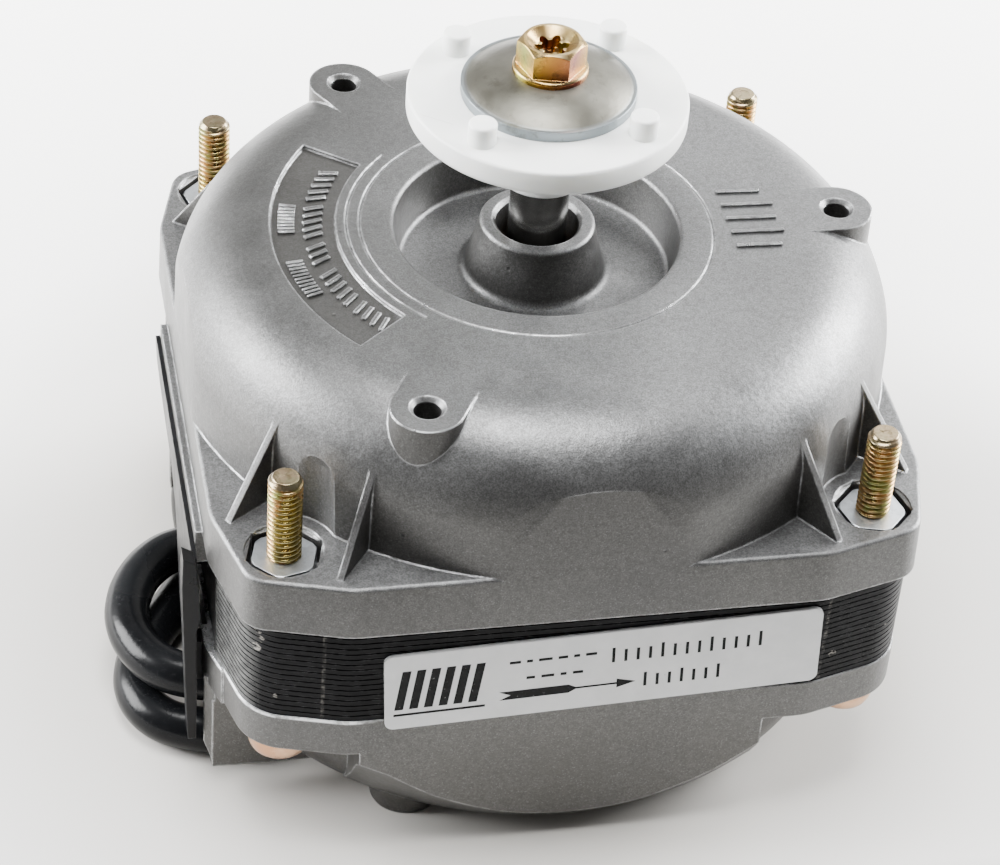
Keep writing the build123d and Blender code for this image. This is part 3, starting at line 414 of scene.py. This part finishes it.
def label_mat():
    M = Mat("label_film")
    n1 = M.noise(220, 4.0, 0.6)
    base = M.mix(M.maprange(n1, 0.4, 0.62, 0.0, 1.0), (0.76, 0.77, 0.775), (0.82, 0.825, 0.83))
    soil = M.maprange(M.noise(60, 4.0, 0.65), 0.56, 0.74, 0.0, 0.35)
    base = M.mix(soil, base, (0.54, 0.54, 0.535))
    spot = M.maprange(M.voronoi(420), 0.015, 0.05, 1.0, 0.0)
    base = M.mix(M.math("MULTIPLY", spot, M.maprange(M.noise(150, 1.0), 0.6, 0.64, 0.0, 0.5)), base, (0.2, 0.2, 0.2))
    n = M.bump(M.math("ADD", M.noise(300, 2.0), M.noise(1200, 2.0)), 0.06, 0.0001, M.bevel(0.0002))
    M.set(Base_Color=base, Roughness=M.maprange(n1, 0.3, 0.7, 0.32, 0.48), Normal=n)
    return M.m


def ink_mat():
    M = Mat("label_ink")
    n1 = M.noise(900, 3.0, 0.7)
    base = M.mix(M.maprange(n1, 0.45, 0.62, 0.0, 1.0), (0.006, 0.006, 0.0065), (0.014, 0.014, 0.0145))
    base = M.mix(M.maprange(M.noise(2600, 2.0), 0.68, 0.74, 0.0, 0.5), base, (0.30, 0.31, 0.31))
    M.set(Base_Color=base, Roughness=M.maprange(n1, 0.3, 0.7, 0.45, 0.6), Normal=M.bump(n1, 0.05, 0.0001), Specular_IOR_Level=0.1)
    return M.m


def copper_wire():
    M = Mat("enamelled_winding")
    x, y, z = M.xyz()
    r = M.math("SQRT", M.math("ADD", M.math("MULTIPLY", x, x), M.math("MULTIPLY", y, y)))
    w = M.t.nodes.new("ShaderNodeTexWave")
    w.wave_type = "BANDS"
    w.bands_direction = "Z"
    w.inputs["Scale"].default_value = 520
    w.inputs["Distortion"].default_value = 1.2
    M.t.links.new(M.combine(0.0, 0.0, M.math("ADD", r, M.math("MULTIPLY", z, 0.04))), w.inputs["Vector"])
    base = M.mix(w.outputs[1], (0.30, 0.09, 0.03), (0.66, 0.27, 0.10))
    M.set(Base_Color=base, Metallic=0.9, Roughness=M.maprange(M.noise(300), 0.3, 0.7, 0.25, 0.4), Normal=M.bump(w.outputs[1], 0.5, 0.0002))
    return M.m


mats = {
    "die_cast": die_cast(),
    "lamination": lamination(),
    "copper": copper_wire(),
    "rotor_steel": plated("rotor_laminations", (0.22, 0.22, 0.23), (0.34, 0.34, 0.35), (0.3, 0.45)),
    "rotor_aluminium": plated("rotor_cage_cast", (0.50, 0.51, 0.52), (0.66, 0.67, 0.68), (0.38, 0.55)),
    "shaft_steel": plated("ground_shaft", (0.22, 0.216, 0.208), (0.28, 0.276, 0.268), (0.20, 0.26), bump=0.012, scale=120),
    "bronze": plated("sintered_bronze", (0.36, 0.22, 0.10), (0.50, 0.33, 0.17), (0.4, 0.6), scale=700),
    "spring_steel": plated("spring_plate", (0.35, 0.35, 0.36), (0.5, 0.5, 0.51), (0.25, 0.4)),
    "felt": plastic("oiled_felt", (0.36, 0.31, 0.22), (0.55, 0.5, 0.4), (0.85, 0.98), bump=0.8, fine=3000),
    "fibre": plastic("fibre_washer", (0.24, 0.09, 0.05), (0.36, 0.15, 0.09), (0.5, 0.7)),
    "yellow_zinc": stud_mat(),
    "zinc": plated("blue_white_zinc", (0.52, 0.55, 0.58), (0.62, 0.65, 0.68), (0.32, 0.44), bump=0.05, edge_highlight_col=(0.80, 0.83, 0.85)),
    "white_nylon": nylon(),
    "label": label_mat(),
    "black_plastic": plastic("black_moulding", (0.004, 0.004, 0.0045), (0.008, 0.008, 0.009), (0.26, 0.40), edge_highlight_col=(0.14, 0.14, 0.14), spec=0.14),
    "black_rubber": plastic("black_rubber", (0.010, 0.010, 0.010), (0.022, 0.022, 0.022), (0.5, 0.7)),
    "cord_jacket": jacket(),
    "core_brown": plastic("core_brown_pvc", (0.17, 0.06, 0.025), (0.25, 0.10, 0.045)),
    "core_blue": plastic("core_blue_pvc", (0.03, 0.13, 0.42), (0.06, 0.20, 0.55)),
    "tinned": plated("tinned_ferrule", (0.62, 0.62, 0.63), (0.78, 0.78, 0.79), (0.18, 0.3)),
    "bobbin_nylon": plastic("bobbin_glass_nylon", (0.62, 0.59, 0.48), (0.74, 0.71, 0.60), (0.4, 0.6)),
}


def earth():
    M = Mat("core_green_yellow_pvc")
    x, y, z = M.xyz()
    a = M.math("FRACT", M.math("MULTIPLY", M.math("ADD", M.math("ADD", x, y), M.math("MULTIPLY", z, 1.6)), 330))
    base = M.mix(M.maprange(a, 0.45, 0.55, 0.0, 1.0), (0.03, 0.27, 0.05), (0.75, 0.66, 0.03))
    n1 = M.noise(300)
    M.set(Base_Color=base, Roughness=M.maprange(n1, 0.3, 0.7, 0.3, 0.42), Normal=M.bump(n1, 0.1, 0.0001))
    return M.m


mats["core_earth"] = earth()
washer_m, screw_m, ink_m = washer_mat(), screw_mat(), ink_mat()

slot_of = {s["node"]: s["material_slot"] for s in frame["record"]["subparts"]}
for name, o in nodes.items():
    o.data.materials.clear()
    o.data.materials.append(mats[slot_of[name]])
nodes["adapter_washer"].data.materials[0] = washer_m
nodes["adapter_screw"].data.materials[0] = screw_m

# ------------------------------------------------------------------ smooth faces on the CAD nodes


def smooth_group(name, angle):
    g = bpy.data.node_groups.new(name, "GeometryNodeTree")
    g.interface.new_socket("Geometry", in_out="INPUT", socket_type="NodeSocketGeometry")
    g.interface.new_socket("Geometry", in_out="OUTPUT", socket_type="NodeSocketGeometry")
    gi = g.nodes.new("NodeGroupInput")
    go = g.nodes.new("NodeGroupOutput")
    weld = g.nodes.new("GeometryNodeMergeByDistance")
    weld.inputs["Distance"].default_value = 2e-6
    s1 = g.nodes.new("GeometryNodeSetShadeSmooth")
    s1.domain = "FACE"
    s2 = g.nodes.new("GeometryNodeSetShadeSmooth")
    s2.domain = "EDGE"
    s2.inputs["Shade Smooth"].default_value = False
    ea = g.nodes.new("GeometryNodeInputMeshEdgeAngle")
    gt = g.nodes.new("FunctionNodeCompare")
    gt.data_type = "FLOAT"
    gt.operation = "GREATER_THAN"
    gt.inputs["B"].default_value = math.radians(angle)
    L = g.links.new
    L(gi.outputs[0], weld.inputs["Geometry"])
    L(weld.outputs[0], s1.inputs["Geometry"])
    L(s1.outputs[0], s2.inputs["Geometry"])
    L(ea.outputs["Unsigned Angle"], gt.inputs["A"])
    L(gt.outputs["Result"], s2.inputs["Selection"])
    L(s2.outputs[0], go.inputs[0])
    return g


smooth = smooth_group("smooth_by_edge", 24)
for o in nodes.values():
    mod = o.modifiers.new("smooth", "NODES")
    mod.node_group = smooth

# ------------------------------------------------------------------ the lead, as one curve
coil_x, coil_y, coil_R = 12.0, 77.5, 28.0
zt = 2.82
route = [(-33.4, -19.6, 8.7), (-37.2, -19.6, 8.7), (-42.0, -18.9, 8.6), (-46.6, -16.6, 8.55), (-49.6, -11.2, 8.55), (-49.9, -5.2, 8.55),
         (-47.5, 0.9, 8.6), (-42.9, 5.0, 8.7), (-37.2, 4.6, 8.6), (-33.4, 0.3, 7.2), (-32.6, -5.6, 5.0), (-32.5, -11.4, 3.4),
         (-32.2, -15.6, zt), (-33.7, -20.3, zt), (-38.1, -22.8, zt), (-43.0, -21.8, zt), (-47.3, -19.5, zt), (-49.5, -15.0, zt),
         (-49.0, -9.6, zt), (-46.4, -4.2, zt), (-43.1, 0.6, zt), (-40.0, 6.0, zt), (-38.6, 12.0, zt), (-38.8, 18.2, zt),
         (-38.2, 24.6, zt), (-34.6, 31.2, zt), (-28.6, 37.4, 2.86), (-20.6, 42.6, 2.93), (-10.0, 46.2, 2.95), (0.5, 46.9, 2.9)]


def on_coil(angle, r, z):
    q = math.radians(angle)
    return (coil_x + r * math.cos(q), coil_y + r * math.sin(q), z)


# the turns: one outside, one inside it, and one on top of both
turns = []
for a, r, z in ((280, 31.3, 2.84), (302, 31.35, 2.84), (325, 31.45, 2.84), (348, 31.4, 2.84), (371, 31.35, 2.84), (394, 31.45, 2.84), (417, 31.4, 2.84),
                (440, 31.35, 2.84), (463, 31.4, 2.84), (486, 31.45, 2.84), (509, 31.4, 2.84), (532, 31.4, 2.84), (554, 31.2, 2.84), (575, 30.5, 2.84),
                (594, 28.7, 2.84), (612, 26.5, 2.84), (632, 25.75, 2.84), (654, 25.7, 2.84), (677, 25.7, 2.84), (700, 25.7, 2.84), (723, 25.7, 2.84),
                (746, 25.7, 2.84), (769, 25.7, 2.84), (792, 25.7, 2.84), (815, 25.7, 2.84), (838, 25.7, 2.84), (861, 25.7, 2.84), (884, 25.7, 2.84),
                (907, 25.75, 2.84), (929, 25.8, 2.9), (948, 25.9, 3.6), (964, 26.4, 5.4), (981, 27.3, 7.6), (999, 28.1, 8.5), (1019, 28.5, 8.4),
                (1041, 28.55, 8.3), (1063, 28.55, 8.3), (1086, 28.6, 8.3), (1109, 28.55, 8.3), (1132, 28.55, 8.3), (1155, 28.5, 8.3),
                (1178, 28.55, 8.3), (1201, 28.55, 8.3), (1222, 28.3, 8.35)):
    turns.append(on_coil(a, r, z))
tail = [on_coil(150, coil_R, 8.45), on_coil(163, coil_R, 8.6), on_coil(177, coil_R, 8.55), on_coil(190, coil_R, 8.58), on_coil(203, coil_R, 8.55)]
points = route + turns + tail

curve = bpy.data.curves.new("mains_lead", "CURVE")
curve.dimensions = "3D"
sp = curve.splines.new("NURBS")
sp.points.add(len(points) - 1)
for p, co in zip(sp.points, points):
    p.co = (co[0] * MM, co[1] * MM, co[2] * MM, 1)
sp.order_u = 3
sp.use_endpoint_u = True
sp.resolution_u = 8
curve.bevel_depth = 2.8 * MM
curve.bevel_resolution = 8
curve.use_fill_caps = True
lead = link(bpy.data.objects.new("mains_lead", curve))
curve.materials.append(mats["cord_jacket"])
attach(lead, "housing")
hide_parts("cord_run", "cord_coil", "cord_tail")

# ------------------------------------------------------------------ mesh helpers


def mesh_obj(name, verts, faces, mat, body="housing", smooth_angle=None):
    me = bpy.data.meshes.new(name)
    me.from_pydata([tuple(c * MM for c in v) for v in verts], [], faces)
    me.validate()
    bm = bmesh.new()
    bm.from_mesh(me)
    bmesh.ops.recalc_face_normals(bm, faces=bm.faces)
    bm.to_mesh(me)
    bm.free()
    me.materials.append(mat)
    o = link(bpy.data.objects.new(name, me))
    if smooth_angle is not None:
        me.polygons.foreach_set("use_smooth", [True] * len(me.polygons))
        me.set_sharp_from_angle(angle=math.radians(smooth_angle))
    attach(o, body)
    return o


# ------------------------------------------------------------------ through bolts with their threads
stud, stud_r, pitch = 34.35, 2.0, 0.7
stud_top, nut_top, z_rear = 53.8, 42.2, 16.4
verts, faces = [], []


def grid(rows, closed_bottom=True, closed_top=True):
    """rows: lists of equally many points, joined ring by ring."""
    base = len(verts)
    n = len(rows[0])
    for r in rows:
        verts.extend(r)
    for i in range(len(rows) - 1):
        for j in range(n):
            a = base + i * n + j
            b = base + i * n + (j + 1) % n
            faces.append((a, b, b + n, a + n))
    if closed_bottom:
        faces.append(tuple(base + j for j in range(n))[::-1])
    if closed_top:
        faces.append(tuple(base + (len(rows) - 1) * n + j for j in range(n)))


seg = 36
for k, (sx, sy) in enumerate(((-1, -1), (1, -1), (1, 1), (-1, 1))):
    X, Y = sx * stud, sy * stud
    turn = (0.9, 2.4, 4.0, 5.3)[k]
    per = 10
    z0, z1 = 41.0, stud_top - 0.02
    n_rows = int((z1 - z0) / pitch * per) + per + 4
    base_i = len(verts)
    for i in range(n_rows + per + 1):
        for j in range(seg):
            th = 2 * math.pi * j / seg
            z = z0 + pitch * (i / per + j / seg) - pitch
            t = (i / per) % 1.0
            f = 1.0 if t < 0.14 or t > 0.86 else max(0.0, 1.0 - min((min(t, 1 - t) - 0.14) / 0.25, 1.0))
            r = (stud_r - 0.40) + 0.38 * f
            if z < nut_top + 0.1:
                r = min(r, 1.74)
            if z > stud_top - 0.62:
                r = min(r, stud_r - 0.06 - (min(z, z1) - (stud_top - 0.62)) * 0.80)
            if z > z1:
                r *= max(0.05, 1.0 - 0.85 * (z - z1) / (1.4 * pitch))
                z = z1 + 0.002 * (z - z1)
            verts.append((X + r * math.cos(th + turn), Y + r * math.sin(th + turn), z))
    total_rows = n_rows + per + 1
    for i in range(n_rows):
        for j in range(seg):
            a = base_i + i * seg + j
            b2 = base_i + i * seg + j + 1 if j + 1 < seg else base_i + (i + per) * seg
            c2 = base_i + (i + 1) * seg + j + 1 if j + 1 < seg else base_i + (i + 1 + per) * seg
            faces.append((a, b2, c2, a + seg))
    grid([[(X + r * math.cos(2 * math.pi * j / seg), Y + r * math.sin(2 * math.pi * j / seg), z) for j in range(seg)]
          for r, z in ((1.28, z1 - 0.3), (1.28, z1 + 0.008), (1.2, z1 + 0.012), (0.6, z1 - 0.03), (0.2, z1 - 0.05))])
    # shank and pan head below
    prof = [(1.75, 41.4), (1.75, 16.0), (3.78, 16.38), (3.8, 16.2), (3.8, 14.0), (3.72, 13.5), (3.5, 13.0), (3.1, 12.6), (2.5, 12.36), (1.7, 12.24)]
    rows = [[(X + r * math.cos(2 * math.pi * j / seg), Y + r * math.sin(2 * math.pi * j / seg), z) for j in range(seg)] for r, z in prof]
    # cross recess: the middle of the head sinks in a plus shape
    for depth, s in ((12.23, 1.0), (13.2, 0.72)):
        ring = []
        for j in range(seg):
            th = 2 * math.pi * j / seg
            c = abs(math.cos(2 * th))
            arm = 0.55 + 1.1 * max(0.0, (c - 0.55) / 0.45) ** 0.7
            ring.append((X + arm * s * math.cos(th), Y + arm * s * math.sin(th), depth))
        rows.append(ring)
    grid(rows)
bolts = mesh_obj("through_bolts_threaded", verts, faces, mats["yellow_zinc"], smooth_angle=62)
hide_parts("through_bolts")

# ------------------------------------------------------------------ label print: plain bars and a turning arrow
lab_x, lab_z, lab_tilt = 2.2, 27.35, math.radians(2.5)
y_face = -(41.5 + 0.45)


def on_label(u, v, lift=0.0):
    """u to the right and v up, in mm from the label's middle."""
    c, s = math.cos(lab_tilt), math.sin(lab_tilt)
    return (lab_x + u * c - v * s, y_face - lift, lab_z + u * s + v * c)


def print_shape(name, outlines):
    verts, faces = [], []
    for pts in outlines:
        b = len(verts)
        n = len(pts)
        verts.extend(on_label(u, v, 0.025) for u, v in pts)
        verts.extend(on_label(u, v, -0.02) for u, v in pts)
        faces.append(tuple(range(b, b + n)))
        faces.append(tuple(range(b + n, b + 2 * n))[::-1])
        for i in range(n):
            j = (i + 1) % n
            faces.append((b + i, b + j, b + n + j, b + n + i))
    o = mesh_obj(name, verts, faces, ink_m)
    return o


def bar(u0, u1, v0, v1, slant=0.0):
    return [(u0, v0), (u1, v0), (u1 + slant, v1), (u0 + slant, v1)]


shapes = []
# slanted stripes in the left field, and a rule under them
for i in range(6):
    u = -24.6 + 1.72 * i
    shapes.append(bar(u, u + 1.02, -2.75, 3.3, 1.0))
shapes.append(bar(-24.7, -14.0, -3.75, -3.42))
print_shape("label_stripes", shapes)
# the turning arrow
print_shape("label_arrow", [
    [(-12.3, -3.1), (-4.2, -3.1), (-3.1, -2.45), (-4.2, -1.8), (-12.3, -1.8), (-11.0, -2.45)],
    bar(-3.4, 1.7, -2.58, -2.32),
    [(1.5, -3.15), (3.7, -2.45), (1.5, -1.75)],
])
# plain bars and ticks beside it
shapes = []
u = -11.2
for w in (1.3, 0.7, 1.6, 1.1, 0.7, 1.3):
    shapes.append(bar(u, u + w, 2.55, 2.95))
    u += w + 0.7
u = -9.2
for w in (1.0, 1.5, 0.7, 1.2):
    shapes.append(bar(u, u + w, -0.1, 0.3))
    u += w + 0.75
print_shape("label_dashes", shapes)
shapes = []
for i in range(13):
    u = 0.8 + 1.45 * i
    shapes.append(bar(u, u + 0.36, 1.0, 2.9 if i % 4 else 3.3))
for i in range(7):
    u = 4.7 + 1.45 * i
    shapes.append(bar(u, u + 0.36, -3.4, -1.6 if i % 3 else -1.2))
print_shape("label_ticks", shapes)

# ------------------------------------------------------------------ panel on the dome: two raised hatched fields


def dome_point(r, a, z):
    q = math.radians(a)
    return (r * math.cos(q), r * math.sin(q), z)


verts, faces = [], []


def raised(pts, z0=59.65, z1=59.98):
    b = len(verts)
    n = len(pts)
    verts.extend((x, y, z0) for x, y in pts)
    verts.extend((x, y, z1) for x, y in pts)
    faces.append(tuple(range(b + n, b + 2 * n)))
    for i in range(n):
        j = (i + 1) % n
        faces.append((b + i, b + j, b + n + j, b + n + i))


def rect_strip(p, q, w):
    d = (Vector(q) - Vector(p)).normalized()
    s = Vector((-d.y, d.x)) * w / 2
    p, q = Vector(p), Vector(q)
    return [tuple(p + s), tuple(p - s), tuple(q - s), tuple(q + s)]


def tick(r0, r1, a, w, z0=59.65, z1=60.06, lean=0.0):
    p = dome_point(r0, a, 0)[:2]
    q = dome_point(r1, a + lean, 0)[:2]
    raised(rect_strip(p, q, w), z0, z1)


for a0, a1 in ((149, 161), (165, 177), (181.5, 189), (193, 205), (208.5, 219)):
    a = a0
    i = 0
    while a <= a1 + 0.01:
        tick(25.5, 27.7, a, 0.55, lean=2.0)
        a += 2.9
        i += 1
for a0, a1 in ((166, 177), (187.5, 200)):
    a = a0
    while a <= a1 + 0.01:
        tick(28.7, 30.7, a, 0.32)
        a += 1.25
# plain raised bars in the cast field on the right
for i, (x0, x1) in enumerate(((22.9, 28.2), (22.9, 29.2), (22.9, 29.0), (22.9, 29.3), (22.9, 28.4))):
    yy = 4.4 - 2.7 * i
    raised([(x0, yy - 0.22), (x1, yy - 0.42), (x1, yy + 0.02), (x0, yy + 0.22)], 60.0, 60.52)
panel = mesh_obj("panel_hatching", verts, faces, mats["die_cast"])

# ------------------------------------------------------------------ floor and light


def floor_material():
    M = Mat("studio_floor")
    n1 = M.noise(3.0, 2.0)
    # painted shadow: grey and warm beside the object; further away the floor is white and glows with painted light from
    # behind
    x, y, z = M.xyz()
    d = M.math("SQRT", M.math("ADD", M.math("POWER", M.math("MULTIPLY", x, 0.92), 2.0), M.math("POWER", M.math("ADD", y, 0.0), 2.0)))
    shadow_fade = M.maprange(d, 0.046, 0.088, 0.0, 1.0)
    base = M.mix(shadow_fade, (0.50, 0.483, 0.455), M.mix(M.maprange(n1, 0.4, 0.6, 0.0, 1.0), (0.84, 0.835, 0.825), (0.86, 0.855, 0.845)))
    # painted shade: darker floor in front of the object
    front_shade = M.maprange(y, -0.130, -0.052, 1.0, 0.0)
    base = M.mix(M.math("POWER", front_shade, 0.6), base, (0.165, 0.161, 0.156))
    # painted light: the floor glows behind and beside the object
    glow = M.math("MULTIPLY", M.maprange(d, 0.07, 0.26, 0.0, 4.2), M.math("MULTIPLY", M.maprange(z, 0.02, 0.12, 1.0, 0.0), M.maprange(y, -0.05, 0.0, 0.0, 1.0)))
    M.set(Base_Color=base, Roughness=0.6, Specular_IOR_Level=0.2, Emission_Color=(1.0, 0.995, 0.985, 1.0), Emission_Strength=glow)
    return M.m


bm = bmesh.new()
prof = [(-3.0, 0.0), (1.6, 0.0)]
for i in range(1, 13):
    q = math.radians(90 * i / 12)
    prof.append((1.6 + 0.8 * math.sin(q), 0.8 - 0.8 * math.cos(q)))
prof.append((2.4, 3.2))
rows = []
for x in (-4.0, 4.0):
    rows.append([bm.verts.new((x, y, z)) for y, z in prof])
for i in range(len(prof) - 1):
    bm.faces.new((rows[0][i], rows[0][i + 1], rows[1][i + 1], rows[1][i]))
me = bpy.data.meshes.new("studio_floor")
bm.to_mesh(me)
bm.free()
me.polygons.foreach_set("use_smooth", [True] * len(me.polygons))
floor = link(bpy.data.objects.new("studio_floor", me))
floor.data.materials.append(floor_material())


def area(name, loc, target, size, energy, color=(1, 1, 1), size_y=None):
    l = bpy.data.lights.new(name, "AREA")
    l.energy = energy
    l.color = color
    l.size = size
    if size_y:
        l.shape = "RECTANGLE"
        l.size_y = size_y
    o = link(bpy.data.objects.new(name, l))
    o.location = loc
    o.rotation_euler = (Vector(target) - Vector(loc)).to_track_quat("-Z", "Y").to_euler()
    return o


area("overhead", (-0.05, -0.02, 1.0), (0, 0, 0.03), 0.50, 19.0, (1.0, 1.0, 0.995), 0.40)
area("back_right", (0.50, 0.72, 0.72), (0.02, 0, 0.05), 0.7, 5.0, (0.995, 1.0, 1.0), 0.5)
area("side_left", (-0.78, 0.27, 0.40), (0, 0, 0.04), 0.55, 38.0, (0.99, 0.995, 1.0), 0.50)
area("side_right", (0.80, 0.25, 0.38), (0, 0, 0.04), 0.55, 38.0, (0.99, 0.995, 1.0), 0.50)
world = bpy.data.worlds.new("studio")
scene.world = world
world.use_nodes = True
world.node_tree.nodes["Background"].inputs[0].default_value = (1.0, 0.995, 0.985, 1)
world.node_tree.nodes["Background"].inputs[1].default_value = 0.18
